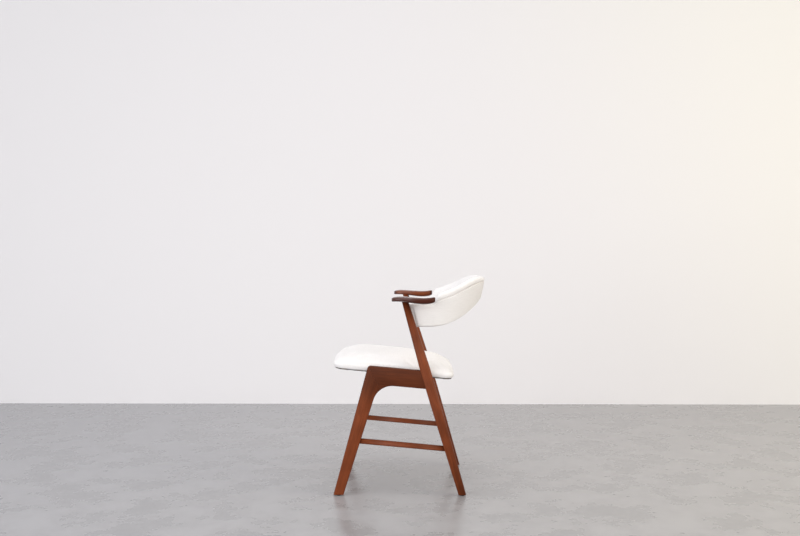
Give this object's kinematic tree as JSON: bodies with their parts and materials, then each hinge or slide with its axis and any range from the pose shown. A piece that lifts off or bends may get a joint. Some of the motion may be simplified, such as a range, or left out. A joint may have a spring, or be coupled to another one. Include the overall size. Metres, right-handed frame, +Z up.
{
  "type": "dining armchair",
  "caption": "Low-armed wooden dining chair with raked legs, short paddle armrests, a floating upholstered seat and a padded back that wraps round and rises to the middle.",
  "frame": {"origin": "on the floor under the middle of the chair's bounding box", "axes": "+Z up, the sitter faces -Y, +X is at the left side frame (the sitter's left hand)"},
  "size_m": [0.574, 0.5346, 0.7351],
  "materials": {
    "teak": "reddish brown hardwood, satin oil",
    "dark_teak": "darker reddish brown hardwood, satin oil",
    "beech": "turned and grooved dowel, raw",
    "plywood": "raw moulded and flat plywood",
    "wool": "off-white woven wool over foam",
    "dust_cloth": "thin black non-woven cloth",
    "nylon": "dark brown nylon",
    "zinc_steel": "zinc plated"
  },
  "bodies": {
    "root": {"left_front_leg": "teak", "left_side_rail": "teak", "left_rear_leg": "teak", "left_stretcher": "teak", "left_armrest": "dark_teak", "left_front_glide": "nylon", "left_rear_glide": "nylon", "left_mitre_dowel_1": "beech", "left_mitre_dowel_2": "beech", "left_rail_dowel_1": "beech", "left_rail_dowel_2": "beech", "left_cross_rail_dowel_1": "beech", "left_cross_rail_dowel_2": "beech", "left_cross_rail_dowel_3": "beech", "left_cross_rail_dowel_4": "beech", "left_back_screw_1": "zinc_steel", "left_back_screw_2": "zinc_steel", "right_front_leg": "teak", "right_side_rail": "teak", "right_rear_leg": "teak", "right_stretcher": "teak", "right_armrest": "dark_teak", "right_front_glide": "nylon", "right_rear_glide": "nylon", "right_mitre_dowel_1": "beech", "right_mitre_dowel_2": "beech", "right_rail_dowel_1": "beech", "right_rail_dowel_2": "beech", "right_cross_rail_dowel_1": "beech", "right_cross_rail_dowel_2": "beech", "right_cross_rail_dowel_3": "beech", "right_cross_rail_dowel_4": "beech", "right_back_screw_1": "zinc_steel", "right_back_screw_2": "zinc_steel", "front_cross_rail": "teak", "rear_cross_rail": "teak", "seat_board": "plywood", "seat_cushion": "wool", "seat_dust_cover": "dust_cloth", "seat_screw_1": "zinc_steel", "seat_screw_2": "zinc_steel", "seat_screw_3": "zinc_steel", "seat_screw_4": "zinc_steel", "back_shell": "plywood", "back_cushion": "wool", "back_outer_panel": "wool"}
  },
  "joints": []
}
